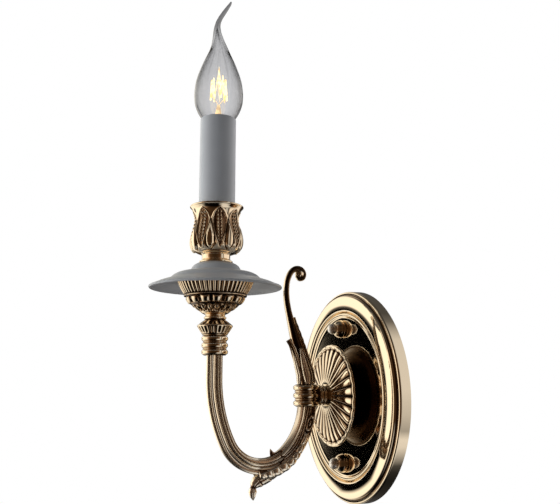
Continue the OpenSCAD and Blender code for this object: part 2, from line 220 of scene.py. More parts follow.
def lengths_along(path):
    steps = np.linalg.norm(np.diff(path, axis=0), axis=1)
    return np.concatenate([[0], np.cumsum(steps)])


def even_path(points, step):
    """Path in the arm's plane, as [y, z], with points an even distance apart."""
    p = np.asarray(points, float)
    s = lengths_along(p)
    at = np.linspace(0, s[-1], max(3, math.ceil(s[-1] / step)))
    return np.stack([np.interp(at, s, p[:, 0]), np.interp(at, s, p[:, 1])], 1)


def swept(name, path, material, size, around=96, wide=1.0):
    """Round bar along a path in the arm's plane. size(s, angle) gives the radius and how dark the
    colour is at a length s: patina, and painted shade on some pieces; angle 0 faces the
    right-hand side of the path and wide stretches it along X."""
    s = lengths_along(path)[:, None]
    angle = np.linspace(-math.pi, math.pi, around, endpoint=False)[None, :]
    radius, patina_and_shade = size(s, angle)
    radius = np.broadcast_to(radius, (len(path), around))
    patina_and_shade = np.broadcast_to(patina_and_shade, (len(path), around))
    points = beside(path, radius * np.sin(angle) * wide, radius * np.cos(angle))
    faces = bar_faces(len(path), around)
    return make_piece(name, points.reshape(-1, 3), faces, material, patina_and_shade, NO_CREASE)


def blade(name, path, half_width, thick, cup, teeth):
    """Brass leaf along a path in the arm's plane. Its edge can be toothed, it has raised veins,
    and cup is how much its edges lift."""
    tooth_pitch = 5
    veins = 4
    s = lengths_along(path)[:, None]
    across = np.linspace(-1, 1, 41)[None, :]
    width = np.interp(s, np.linspace(0, s[-1, 0], len(half_width)), half_width)
    x = across * width * (1 + teeth * (np.abs(np.sin(np.pi * s / tooth_pitch)) - 0.6))
    ridge = 0.5 + 0.5 * np.cos(np.pi * veins * across)
    body = thick * np.sqrt(np.clip(1 - across ** 2, 0, 1)) * (0.55 + 0.45 * ridge)
    lift = cup * across ** 2 * width
    front = beside(path, x, lift + body)
    back = beside(path, x, lift - body)
    points = np.concatenate([front, back[:, ::-1]], 1)
    valley = np.broadcast_to((1 - ridge) * (1 - across ** 8), x.shape)
    patina_and_shade = np.concatenate([valley, valley], 1)
    faces = bar_faces(len(path), points.shape[1])
    return make_piece(name, points.reshape(-1, 3), faces, BRASS, patina_and_shade)


# ---- Materials ----


class Tree:
    """What the nodes of materials and of the world share."""

    def add(self, kind, **settings):
        node = self.tree.nodes.new(kind)
        for key, value in settings.items():
            setattr(node, key, value)
        return node

    def link(self, source, target):
        self.tree.links.new(source, target)

    def give(self, value, target):
        """Sets a socket to a number or a colour, or links it to another socket."""
        if isinstance(value, (int, float)):
            target.default_value = value
        elif isinstance(value, tuple):
            target.default_value = (*value, 1)
        else:
            self.link(value, target)

    def colour_stops(self, value, stops):
        """Colour ramp over a value from 0 to 1, from (place, colour) pairs."""
        node = self.add("ShaderNodeValToRGB")
        points = node.color_ramp.elements
        while len(points) < len(stops):
            points.new(0.5)
        for point, (place, colour) in zip(points, stops):
            point.position = place
            point.color = (*colour, 1)
        self.link(value, node.inputs["Fac"])
        return node.outputs["Color"]


class Nodes(Tree):
    """Short way to write a material's nodes."""

    def __init__(self, name):
        self.material = bpy.data.materials.new(name)
        self.material.use_nodes = True
        self.tree = self.material.node_tree
        self.shader = self.tree.nodes["Principled BSDF"]

    def set(self, **sockets):
        for key, value in sockets.items():
            self.shader.inputs[key.replace("_", " ")].default_value = value

    def noise(self, scale, detail):
        """Soft noise from 0 to 1, fixed to the piece."""
        place = self.add("ShaderNodeTexCoord")
        node = self.add("ShaderNodeTexNoise")
        node.inputs["Scale"].default_value = scale
        node.inputs["Detail"].default_value = detail
        node.inputs["Roughness"].default_value = 0.55
        self.link(place.outputs["Object"], node.inputs["Vector"])
        return node.outputs["Fac"]

    def spread(self, value, low, high):
        """Turns a value from 0 to 1 into one from low to high."""
        node = self.add("ShaderNodeMapRange")
        node.inputs["To Min"].default_value = low
        node.inputs["To Max"].default_value = high
        self.link(value, node.inputs["Value"])
        return node.outputs["Result"]

    def maths(self, operation, first, second):
        node = self.add("ShaderNodeMath", operation=operation)
        self.give(first, node.inputs[0])
        self.give(second, node.inputs[1])
        return node.outputs[0]

    def two_tone(self, value, low, first, high, second, socket="Base Color"):
        """Colours a socket from first to second as a value goes from low to high."""
        self.link(self.colour_stops(value, [(low, first), (high, second)]), self.shader.inputs[socket])

    def bump(self, height, strength, distance):
        node = self.add("ShaderNodeBump")
        node.inputs["Strength"].default_value = strength
        node.inputs["Distance"].default_value = distance
        self.link(height, node.inputs["Height"])
        self.link(node.outputs["Normal"], self.shader.inputs["Normal"])


def scaled(colour, factor):
    return tuple(factor * c for c in colour)


def polished_brass(name, clean, worn, rough=0.05, metal=1.0):
    """Bright brass, darkened where the per-point darkness attribute says: patina where the surface
    is low, and painted shade where a piece sets it.
    """
    m = Nodes(name)
    patina_and_shade = m.add("ShaderNodeAttribute", attribute_name="patina_and_shade").outputs["Fac"]
    patches = m.noise(90, 4)
    shade = m.maths("ADD", patina_and_shade, m.spread(patches, -0.04, 0.06))
    colour = m.colour_stops(shade, [(0.05, clean), (0.45, worn), (0.85, DARK_PATINA_AND_SHADE)])
    m.link(colour, m.shader.inputs["Base Color"])
    scuffs = m.spread(m.noise(420, 2), 0.6 * rough, 1.4 * rough)
    rough_here = m.maths("ADD", scuffs, m.maths("MULTIPLY", patina_and_shade, 0.25))
    m.link(rough_here, m.shader.inputs["Roughness"])
    m.bump(m.noise(600, 2), 0.01, 0.0001)
    m.set(Metallic=metal)
    return m.material


def satin_paint(name, colour):
    """Sprayed enamel with a slight orange-peel texture."""
    m = Nodes(name)
    m.two_tone(m.noise(40, 3), 0.3, scaled(colour, 0.93), 0.7, colour)
    m.link(m.spread(m.noise(260, 2), 0.36, 0.48), m.shader.inputs["Roughness"])
    m.bump(m.noise(700, 2), 0.08, 0.0002)
    m.set(Coat_Weight=0.15, Coat_Roughness=0.25)
    return m.material


def sheet_metal(name, colour, rough):
    """Plated or rolled metal with fine streaks."""
    m = Nodes(name)
    place = m.add("ShaderNodeTexCoord")
    stretch = m.add("ShaderNodeMapping")
    stretch.inputs["Scale"].default_value = (1, 1, 12)
    streaks = m.add("ShaderNodeTexNoise")
    streaks.inputs["Scale"].default_value = 160
    m.link(place.outputs["Object"], stretch.inputs["Vector"])
    m.link(stretch.outputs["Vector"], streaks.inputs["Vector"])
    fac = streaks.outputs["Fac"]
    m.two_tone(fac, 0.3, scaled(colour, 0.8), 0.7, colour)
    m.link(m.spread(fac, rough - 0.06, rough + 0.08), m.shader.inputs["Roughness"])
    m.bump(fac, 0.05, 0.0002)
    m.set(Metallic=1.0)
    return m.material


def moulded_plastic(name, colour, rough):
    """Plastic with slight mottling."""
    m = Nodes(name)
    m.two_tone(m.noise(120, 3), 0.3, scaled(colour, 0.88), 0.7, colour)
    m.link(m.spread(m.noise(500, 2), rough - 0.05, rough + 0.07), m.shader.inputs["Roughness"])
    m.bump(m.noise(900, 2), 0.06, 0.0002)
    return m.material


def blown_glass(name, middle, edge):
    """Clear glass coloured darker where it is seen edge on, as painted shade, and where the per-point
    darkness attribute says.
    """
    m = Nodes(name)
    facing = m.add("ShaderNodeLayerWeight")
    facing.inputs["Blend"].default_value = 0.5
    patina_and_shade = m.add("ShaderNodeAttribute", attribute_name="patina_and_shade").outputs["Fac"]
    shade = m.maths("MAXIMUM", facing.outputs["Facing"], patina_and_shade)
    stops = [(0.05, middle), (0.40, scaled(middle, 0.75)), (0.62, scaled(middle, 0.35)), (0.90, edge)]
    m.link(m.colour_stops(shade, stops), m.shader.inputs["Base Color"])
    ripples = m.noise(60, 2)
    m.link(m.spread(ripples, 0.0, 0.03), m.shader.inputs["Roughness"])
    m.bump(ripples, 0.12, 0.002)
    m.set(Transmission_Weight=1.0, IOR=1.45)
    return m.material


def lit_glass(name, colour, strength):
    """Glass stem that shines with the light of the filament on it."""
    m = Nodes(name)
    m.two_tone(m.noise(240, 3), 0.35, scaled(colour, 0.25), 0.65, colour, "Emission Color")
    m.set(Base_Color=(0.9, 0.8, 0.6, 1), Roughness=0.1, Emission_Strength=strength)
    return m.material


def hot_wire(name, colour, strength):
    """Glowing wire with cooler, redder stretches."""
    m = Nodes(name)
    cooler = (colour[0] * 0.8, colour[1] * 0.55, colour[2] * 0.3)
    m.two_tone(m.noise(300, 2), 0.38, cooler, 0.52, colour, "Emission Color")
    m.set(Base_Color=(*colour, 1), Roughness=0.5, Emission_Strength=strength)
    return m.material


CLEAN_BRASS = (0.80, 0.66, 0.48)
WORN_BRASS = (0.30, 0.19, 0.11)
# The darkest colour serves both the deepest patina and painted shade.
DARK_PATINA_AND_SHADE = (0.035, 0.018, 0.008)
PALE_BRASS = (0.95, 0.91, 0.86)
# Lighter copy of the brass, with a little diffuse colour, for the arm and its leaves, so that their reeds
# and lobes show brighter: painted highlight. The second colour is its patina in the hollows.
HIGHLIGHT_BRASS = (1.0, 0.88, 0.70)
HIGHLIGHT_BRASS_HOLLOW = (0.22, 0.12, 0.065)

MATERIALS = {
    "antique_brass": polished_brass("antique_brass", CLEAN_BRASS, WORN_BRASS),
    # Paler, rougher copy of the brass for the nut balls, so that they read bright: painted highlight.
    "ball_highlight_brass": polished_brass("ball_highlight_brass", PALE_BRASS, WORN_BRASS, 0.5),
    "arm_highlight_brass": polished_brass("arm_highlight_brass", HIGHLIGHT_BRASS, HIGHLIGHT_BRASS_HOLLOW, 0.12, 0.86),
    "plain_brass": polished_brass("plain_brass", (0.80, 0.62, 0.32), (0.5, 0.34, 0.15), 0.2),
    "pan_white": satin_paint("pan_white", (0.50, 0.52, 0.54)),
    "sleeve_white": satin_paint("sleeve_white", (0.56, 0.59, 0.63)),
    "zinc_steel": sheet_metal("zinc_steel", (0.62, 0.63, 0.66), 0.3),
    "lamp_cap_metal": sheet_metal("lamp_cap_metal", (0.76, 0.76, 0.78), 0.25),
    "cream_plastic": moulded_plastic("cream_plastic", (0.82, 0.79, 0.70), 0.4),
    "clear_glass": blown_glass("clear_glass", (0.80, 0.80, 0.81), (0.08, 0.08, 0.085)),
    "lit_stem": lit_glass("lit_stem", (1.0, 0.66, 0.30), 1.6),
    "black_insulator": moulded_plastic("black_insulator", (0.03, 0.03, 0.032), 0.2),
    "glowing_filament": hot_wire("glowing_filament", (1.0, 0.82, 0.48), 1.9),
    "brown_sheath": moulded_plastic("brown_sheath", (0.20, 0.09, 0.04), 0.35),
    "blue_sheath": moulded_plastic("blue_sheath", (0.05, 0.16, 0.45), 0.35),
    "green_sheath": moulded_plastic("green_sheath", (0.12, 0.35, 0.06), 0.35),
}
BRASS = MATERIALS["antique_brass"]
# The lighter arm copy of the brass: painted highlight.
ARM_HIGHLIGHT_BRASS = MATERIALS["arm_highlight_brass"]


def finish_cad_nodes():
    """Every CAD node takes its slot's material, and the bulb's stem and leads shine."""
    for part in frame["record"]["subparts"]:
        node = frame["nodes"][part["node"]]
        node.data.materials.clear()
        node.data.materials.append(MATERIALS[part["material_slot"]])
    for node in ("bulb_stem", "bulb_lead_wires"):
        frame["nodes"][node].data.materials[0] = MATERIALS["lit_stem"]


def fit(piece, body, slot, *nodes):
    """Piece rides on a body and stands for CAD nodes, which it hides. The slot is not used."""
    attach(piece, body)
    if nodes:
        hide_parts(*nodes)


# ---- Backplate and rosette ----


def backplate():
    """Pressed plate: side wall, rounded edge, wide flange between two beads, inner bead and a
    flat mirror field."""
    r = PLATE_R
    depth = -corners("rosette")[1][1]
    bore = 5.2
    sheet = 1.2
    face = (
        [(r, 0.0), (r - 0.05, 6.0)]
        + arc((r - 1.25, 6.9), 1.2, 0, 110, 10)
        + [(r - 2.6, 8.1), (r - 2.95, 8.7)]
        + arc((r - 4.49, 9.17), 1.4, 5, 78, 10)
        + arc((r - 11.89, -25.65), 37.0, 78, 92, 12)
        + arc((r - 13.13, 9.93), 1.4, 92, 160, 10)
        + [(r - 15.2, 8.9), (r - 15.8, 8.7)]
        + arc((r - 16.9, 9.3), 1.5, 20, 150, 8)
        + [(r - 18.6, depth + 0.05), (r - 20.5, depth), (bore, depth)]
    )
    back = [(bore, depth - sheet), (r - 21, depth - sheet), (r - 15, 7.4), (r - 9.2, 10.1),
            (r - 3, 6.2), (r - 1.4, 4.5), (r - 1.3, 0.0)]
    outline = fine(face + back, 1.2)

    def tarnish(radius, height, angle):
        groove = bump(radius - (r - 2.7), 0.3)
        return 0, np.where(height > 5, groove, 0)

    piece = turned("plate_shell", outline, BRASS, on_plate, tarnish, 256, 50)
    fit(piece, "root", "antique_brass", "backplate")


def rosette():
    """Scalloped shell with a thick rolled rim. Its underside is coloured near black: painted shade."""
    field = -corners("rosette")[1][1]
    hub = -corners("rosette")[0][1]
    rim = corners("rosette")[1][0]
    petals = 28
    front = (
        [(rim - 10.4, field + 2.0), (rim - 5, field + 5.6), (rim - 1.6, field + 8.6)]
        + arc((rim - 1.3, field + 9.7), 1.3, -60, 110, 10)
        + curve([(rim - 2.2, field + 10.4), (rim - 3.6, field + 10.6), (rim - 8, field + 11.9),
                 (rim - 15, field + 13.0), (rim - 21, field + 13.9), (9.5, hub)])
        + [(7.0, hub), (5.1, hub)]
    )
    back = [(5.1, field), (12, field), (21, field)]
    outline = fine(front + back, 0.5)

    def scallops(radius, height, angle):
        top = height > field + 9.8
        out = np.where(top, smooth_step(radius, 8.6, 11.0), 0)
        inside = out * (1 - smooth_step(radius, rim - 3.2, rim - 1.8))
        wave = np.abs(np.sin(petals * angle / 2))
        narrow = np.clip((radius - 6) / (rim - 6), 0.1, 1)
        ribbed = 1.9 * narrow * (wave ** 0.55 - 1) * inside
        notch = 0.6 * (wave - 1) * bump(radius - (rim - 1.4), 1.2) * top
        valley = (1 - wave ** 0.6) * 1.5 * smooth_step(radius, 9, 16)
        valley = valley + 0.8 * bump(radius - (rim - 3.2), 0.6) * top
        # The back of the rim, toward the wall, is coloured as dark as the brass gets: painted shade.
        shaded_underside = (height < field + 9.2) & (radius > 12) & (height > field + 0.1)
        return ribbed + notch, np.where(shaded_underside, 1.0, np.clip(valley, 0, 1) * inside)

    piece = turned("rosette_shell", outline, BRASS, on_plate, scallops, 672, 100)
    fit(piece, "root", "antique_brass", "rosette")


def ball_nut(which):
    """Domed nut, and the neck and ball on top of it."""
    low, high = corners(which + "_ball_nut")
    place = at_nut((low[2] + high[2]) / 2)
    base = -high[1]
    top = -low[1]
    bore = 2.05
    dome = ([(bore, base), (5.9, base)] + arc((5.9, base + 0.5), 0.5, -90, 0, 4)
            + arc((0, base + 0.6), 6.35, 0, 54, 12) + [(bore, base + 5.2)])
    piece = turned(which + "_nut_dome", fine(dome, 0.5), BRASS, place, crease=80)
    fit(piece, which + "_nut", "antique_brass", which + "_ball_nut")
    r = 3.8
    ball = [(bore, top - r - 3.0)] + arc((0, top - r), r, -52, 90, 24)
    # The ball takes the paler copy of the brass: painted highlight.
    piece = turned(which + "_nut_ball", fine(ball, 0.4), MATERIALS["ball_highlight_brass"], place, crease=80)
    fit(piece, which + "_nut", "antique_brass")


# ---- Arm ----

# The arm's three bends, as in the CAD: their radii, and in degrees how far the outer one and the
# one that rises to the collar turn
OUTER_BEND_R = 100.0
BOTTOM_BEND_R = 27.0
RISE_BEND_R = 47.5
OUTER_TURN = 25.5
RISE_TURN = 46.0
OUTER_CENTRE = np.array([CANDLE_Y + OUTER_BEND_R, 12.0])


def heading(degrees):
    """Unit vector at an angle in the arm's plane."""
    return np.array([math.cos(math.radians(degrees)), math.sin(math.radians(degrees))])


BOTTOM_CENTRE = OUTER_CENTRE - (OUTER_BEND_R - BOTTOM_BEND_R) * heading(OUTER_TURN)
RISE_CENTRE = BOTTOM_CENTRE - (RISE_BEND_R - BOTTOM_BEND_R) * heading(-RISE_TURN)


def arm_path(top, step=0.6):
    """Centre line of the arm from the collar down, round and up to a height."""
    points = (
        arc(RISE_CENTRE, RISE_BEND_R, 0, -RISE_TURN, 40)
        + arc(BOTTOM_CENTRE, BOTTOM_BEND_R, -RISE_TURN, OUTER_TURN - 180, 60)[1:]
        + arc(OUTER_CENTRE, OUTER_BEND_R, OUTER_TURN - 180, -180, 40)[1:]
        + [(CANDLE_Y, top)]
    )
    return even_path(points, step)


def reeded_arm():
    """Arm with rounded reeds along it and dark lines between them."""
    reeds = 12

    def reeding(s, angle):
        phase = np.abs(((angle / TURN * reeds) % 1) * 2 - 1)
        return ARM_R - 1.1 * phase ** 1.15, np.clip(phase ** 7 * 1.2, 0, 1)

    top = corners("arm_tube")[1][2]
    piece = swept("reeded_arm", arm_path(top), ARM_HIGHLIGHT_BRASS, reeding, 240)
    fit(piece, "root", "antique_brass", "arm_tube")


# Lobes along the leaf's outer margin: length along the arm and angle from its inner side,
# then half length and half width in millimetres
LEAF_LOBES = (
    (21.5, 108, 4.4, 1.9),
    (28.0, 116, 3.7, 2.1),
    (33.2, 121, 3.0, 2.1),
    (37.8, 121, 3.2, 2.6),
    (43.0, 118, 3.5, 3.3),
    (48.4, 118, 3.4, 3.5),
    (53.2, 121, 3.0, 3.2),
    (57.2, 127, 2.4, 2.6),
)
# Open loop at the leaf's root, in the same measures
LEAF_LOOP = (10.8, 108, 5.6, 2.7)


def leaf_margin(a):
    """How far the arm's leaf reaches along the arm at an angle from its inner side."""
    reach = np.interp(a, [0, 8, 16, 40, 60, 80, 98, 108, 120, 140, 180],
                      [49, 46.5, 40, 39, 42, 41, 45, 56, 60, 60, 58])
    return reach + 0.8 * np.sin(np.radians(a) * 9)


def across_oval(s, a, oval):
    """Distance from the middle of a leaning oval on the leaf's skin, 1 at its edge."""
    at, angle, length, width = oval
    skin_r = 7.0
    over = np.radians(a - angle) * skin_r
    lean = 0.35 * over
    return np.sqrt(((s - at + lean) / length) ** 2 + (over / width) ** 2)


def arm_leaf():
    """Acanthus sheath round the arm: a smooth rib inside, long veins, and lobes on the wall side."""
    inside_tube = 4.1
    leaf_r = 6.3

    def leaf(s, angle):
        a = np.degrees(np.abs(angle))
        edge = smooth_step(leaf_margin(a) - s, 0, 1.2)
        lobes = np.zeros_like(s + a)
        rim = np.zeros_like(s + a)
        for oval in LEAF_LOBES:
            d = across_oval(s, a, oval)
            lobes = np.maximum(lobes, np.sqrt(np.clip(1 - d ** 2, 0, 1)))
            rim = np.maximum(rim, bump(d - 1.08, 0.16))
        d = across_oval(s, a, LEAF_LOOP)
        loop = bump(d - 0.8, 0.17) + bump(d, 0.28)
        hollow = bump(d - 0.5, 0.12) + bump(d - 1.1, 0.12)
        veined = smooth_step(a, 62, 66) * (1 - smooth_step(a, 96, 100))
        veins = np.abs(np.cos(np.radians(a * 13 + 60 * np.sin(s / 6.0)))) ** 5
        margin = smooth_step(a, 96, 102) * (1 - np.clip(lobes * 2 + loop * (d < 1.05), 0, 1))
        rib = 0.5 * bump(a - 58, 4.0)
        flare = np.interp(s, [0, 16, 30, 42, 52], [0.5, 0.7, 1.2, 2.0, 2.4]) * smooth_step(a, 90, 140)
        thorn = 3.8 * bump(a, 9) * bump(s - 46.2, 1.7)
        skin = (leaf_r + rib + flare + thorn + 0.35 * (veins - 1) * veined
                + 1.7 * lobes * (s > 15) + 0.7 * loop - 0.4 * rim * (lobes < 0.1))
        radius = inside_tube + (skin - inside_tube) * edge
        # Darker over the smooth inner side of the leaf.
        inner_side_darkening = 0.24 * (1 - smooth_step(a, 54, 64))
        dark = 0.6 * (1 - veins) * veined + 0.45 * margin + 0.8 * hollow + inner_side_darkening
        dark = dark + 0.5 * bump(leaf_margin(a) - s - 0.5, 0.6)
        return radius, np.clip(dark, 0, 1)

    path = arm_path(0, 0.3)
    s = lengths_along(path)
    piece = swept("arm_leaf_sheath", path[(s > 2.5) & (s < 62)], ARM_HIGHLIGHT_BRASS, leaf, 300)
    fit(piece, "root", "antique_brass", "arm_leaf")


def arm_leaf_tip():
    """Free end of the leaf: fleshy pointed lobes that curl down below the arm."""
    line = even_path(curve([(-57.0, -46.5), (-62.0, -50.0), (-67.0, -53.0), (-71.5, -55.0), (-75.2, -56.4),
                            (-77.5, -59.4), (-78.2, -63.2), (-77.7, -68.0)], 10), 0.25)
    total = lengths_along(line)[-1]

    def lobe(s, angle):
        half = np.interp(s / total, [0, 0.25, 0.46, 0.62, 0.70, 0.75, 0.84, 0.93, 1.0],
                         [3.0, 3.6, 3.9, 4.3, 3.2, 2.2, 2.9, 1.9, 0.2])
        slant = (s + 1.8 * np.abs(angle)) % 6.4
        seam = bump(slant - 3.2, 0.45) * (s < 0.6 * total)
        pinch = bump(s - 0.75 * total, 0.7)
        groove = bump(np.abs(angle) - 1.57, 0.14) * (s > 0.45 * total)
        cut = np.clip(seam + 0.7 * pinch + 0.7 * groove, 0, 1)
        return half * (1 - 0.14 * cut), cut

    piece = swept("arm_leaf_tip", line, ARM_HIGHLIGHT_BRASS, lobe, 96, 0.8)
    fit(piece, "root", "antique_brass")


def ring_tarnish(radius, height, angle):
    """Dark lines between the rings of the collar and the ferrule."""
    return 0, np.clip((8.2 - radius) / 0.9, 0, 1) * (radius > 6)


def collar():
    """Ringed collar that joins the arm, the scroll and the stub."""
    half = corners("arm_collar")[1][2]
    line = [(2.0, -half), (7.4, -half)]
    for ring in (-5.3, 0.0, 5.3):
        line += arc((7.3, ring), 1.9, -75, 75, 10)
        if ring < 5:
            line += arc((7.6, ring + 2.65), 0.55, -80, 80, 4)
    line += [(7.4, half), (2.0, half)]
    piece = turned("ringed_collar", fine(line, 0.35), BRASS, on_collar, ring_tarnish, 128)
    fit(piece, "root", "antique_brass", "arm_collar")


def stub():
    """Ringed stub between the rosette and the collar."""
    start = -corners("wall_stub")[1][1]
    stop = -COLLAR_Y - 6.5
    line = [(5.05, start), (7.6, start), (7.6, start + 0.8), (6.3, start + 1.1)]
    for ring in (2.4, 5.2):
        line += arc((6.1, start + ring), 1.2, -70, 70, 8)
    line += [(6.2, start + 6.8), (6.4, stop), (5.05, stop)]

    def tarnish(radius, height, angle):
        return 0, 0.6 * np.clip((6.9 - radius) / 0.6, 0, 1) * (radius > 5.5)

    piece = turned("ringed_stub", fine(line, 0.35), BRASS, on_plate, tarnish, 128)
    fit(piece, "root", "antique_brass", "wall_stub")


# ---- Upper scroll ----


def scroll_stem():
    """Keeled stem that tapers up from the collar and ends in a volute."""
    half = corners("arm_collar")[1][2]
    line = curve([(COLLAR_Y, half), (-39.4, 12), (-40.8, 18), (-42.6, 24.5), (-44.6, 31.5),
                  (-46.8, 38.5), (-48.9, 46), (-51, 54), (-52.8, 62), (-53.7, 70), (-53.6, 76),
                  (-52.6, 81.4), (-50.2, 86.4), (-46.6, 89.2), (-42.8, 89.0), (-40.4, 86.4),
                  (-40.8, 83.2), (-43.4, 82.2), (-45.2, 84.0), (-44.6, 86.0)], 10)
    path = even_path(line, 0.5)
    total = lengths_along(path)[-1]
    # Power of the section's rounded square, which would be a circle with 2
    square = 2.2

    def keel(s, angle):
        radius = np.interp(s, [0, 12, 24, 34, 44, 52, 66, 80, 92, 100, total],
                           [5.4, 5.0, 4.2, 3.4, 2.7, 2.3, 2.2, 2.1, 2.1, 1.8, 1.2])
        boxed = (np.abs(np.cos(angle)) ** square + np.abs(np.sin(angle)) ** square) ** (-1 / square)
        a = np.degrees(np.abs(angle))
        # The broad faces on either side of the keel are coloured dark: painted dark reflection.
        flank = smooth_step(a, 40, 66) * (1 - smooth_step(a, 128, 152))
        return radius * boxed * (1 - 0.05 * flank), 0.85 * flank

    piece = swept("scroll_stem", path, BRASS, keel)
    fit(piece, "root", "antique_brass", "scroll")


# Lobes round the foot of the scroll: angle of the middle from the side away from the wall,
# half width in degrees and length in millimetres. The wall-side one is there at both ends.
FOOT_LOBES = ((180, 44, 33), (-180, 44, 33), (0, 40, 40), (93, 44, 26), (-93, 44, 26))


def scroll_sheath():
    """Leaf cup round the foot of the scroll, with long pointed lobes."""
    collar_top = corners("arm_collar")[1][2]
    path = even_path(curve([(COLLAR_Y, collar_top), (-39.2, 14), (-40.8, 20), (-42.8, 27), (-45, 34),
                            (-47.4, 41), (-49.4, 47)], 10), 0.4)
    inside_stem = 1.5

    def leaf(s, angle):
        a = np.degrees(angle)
        petal = np.zeros_like(s + a)
        vein = np.zeros_like(s + a)
        for centre, wide, reach in FOOT_LOBES:
            half = wide * np.sqrt(np.clip(1 - (s / reach) ** 2, 0, 1)) * np.clip(0.62 + s / 18, 0, 1)
            across = np.abs(a - centre) / np.maximum(half, 0.5)
            into = np.where(s < reach, 1 - across, -1)
            petal = np.maximum(petal, smooth_step(into, 0, 0.35))
            vein = np.maximum(vein, bump(across - 0.42, 0.13) * (into > 0.1))
        swell = np.interp(s, [0, 3, 10, 20, 30, 40], [5.9, 6.3, 6.1, 5.5, 4.8, 4.2])
        covered = smooth_step(petal, 0.0, 0.12) + (1 - smooth_step(s, 15, 22))
        radius = np.where(covered > 0.5, swell - 0.7 + 1.1 * petal - 0.55 * vein, inside_stem)
        dark = 0.6 * vein + 0.8 * (1 - petal) ** 3
        return radius, np.clip(dark, 0, 1)

    piece = swept("scroll_sheath", path, ARM_HIGHLIGHT_BRASS, leaf, 240)
    fit(piece, "root", "antique_brass")


def scroll_leaves():
    """Leaves that curl off the scroll's stem, one to the room and one to the wall."""
    room = curve([(-43.0, 14), (-45.0, 21), (-47.2, 28), (-49.4, 34.2), (-52.0, 38.6)], 10)
    piece = blade("scroll_leaf_room", even_path(room, 0.4), (2.6, 3.8, 3.8, 3.0, 0.8), 2.2, 0.15, 0.0)
    fit(piece, "root", "antique_brass")
    wall = curve([(-38.2, 27), (-40.6, 34), (-43.2, 41), (-45.6, 47.6), (-47.6, 54.5)], 10)
    piece = blade("scroll_leaf_wall", even_path(wall, 0.4), (2.0, 3.2, 3.0, 2.4, 0.7), 0.8, 0.1, 0.25)
    fit(piece, "root", "antique_brass")


def volute_eye():
    """Ball in the middle of the volute, with a dark ring on its right side."""
    r = 3.2
    centre_y = -43.4
    centre_z = 85.6

    def ring(radius, height, angle):
        return 0, bump(height - 2.0, 0.4) * 0.8

    def place(p):
        return np.stack([p[..., 2], p[..., 0] + centre_y, p[..., 1] + centre_z], -1)

    piece = turned("volute_eye", fine(arc((0, 0), r, -90, 90, 20), 0.4), BRASS, place, ring, 64)
    fit(piece, "root", "antique_brass")


# ---- Column ----


def ferrule():
    """Three heavy rings with fine rings between."""
    low, high = corners("ring_ferrule")
    line = [(5.0, low[2]), (7.6, low[2])]
    rings = (low[2] + 2.2, low[2] + 6.7, low[2] + 11.2)
    for ring in rings:
        line += arc((7.1, ring), 1.9, -80, 80, 10)
        if ring < rings[2]:
            line += arc((7.4, ring + 2.25), 0.6, -80, 80, 4)
    line += [(7.6, high[2]), (5.0, high[2])]
    piece = turned("ringed_ferrule", fine(line, 0.35), BRASS, on_candle, ring_tarnish, 128)
    fit(piece, "root", "antique_brass", "ring_ferrule")


def knop():
    """Pointed knop, fluted below and lobed above, under a small ring."""
    low, high = corners("knop")
    b = low[2]
    line = ([(5.0, b), (8.4, b), (8.7, b + 0.8)]
            + curve([(9.2, b + 1.4), (10.8, b + 3.9), (11.9, b + 5.7)], 6)
            + curve([(12.1, b + 6.2), (11.6, b + 6.9), (9.6, b + 8.6), (7.9, b + 9.8)], 6)
            + [(6.9, b + 10.4)] + arc((6.5, b + 11.7), 1.1, -70, 70, 8)
            + [(6.7, high[2]), (5.0, high[2])])

    def flutes(radius, height, angle):
        below = smooth_step(height, b + 1.0, b + 2.2) * (1 - smooth_step(height, b + 5.0, b + 6.0))
        wave = np.abs(np.sin(11 * angle))
        above = smooth_step(height, b + 6.6, b + 7.6) * (1 - smooth_step(height, b + 9.6, b + 10.6))
        lobes = np.abs(np.sin(6 * angle))
        outside = radius > 6.4
        push = (0.8 * (wave ** 0.6 - 1) * below + 0.9 * (lobes ** 0.6 - 1) * above) * outside
        dark = (1 - wave ** 0.7) * 1.6 * below + (1 - lobes) * 1.3 * above
        seam = bump(height - (b + 10.5), 0.4) + bump(height - (b + 0.7), 0.3)
        return push, np.clip(dark + seam, 0, 1) * outside

    piece = turned("fluted_knop", fine(line, 0.3), BRASS, on_candle, flutes, 384, 100)
    fit(piece, "root", "antique_brass", "knop")


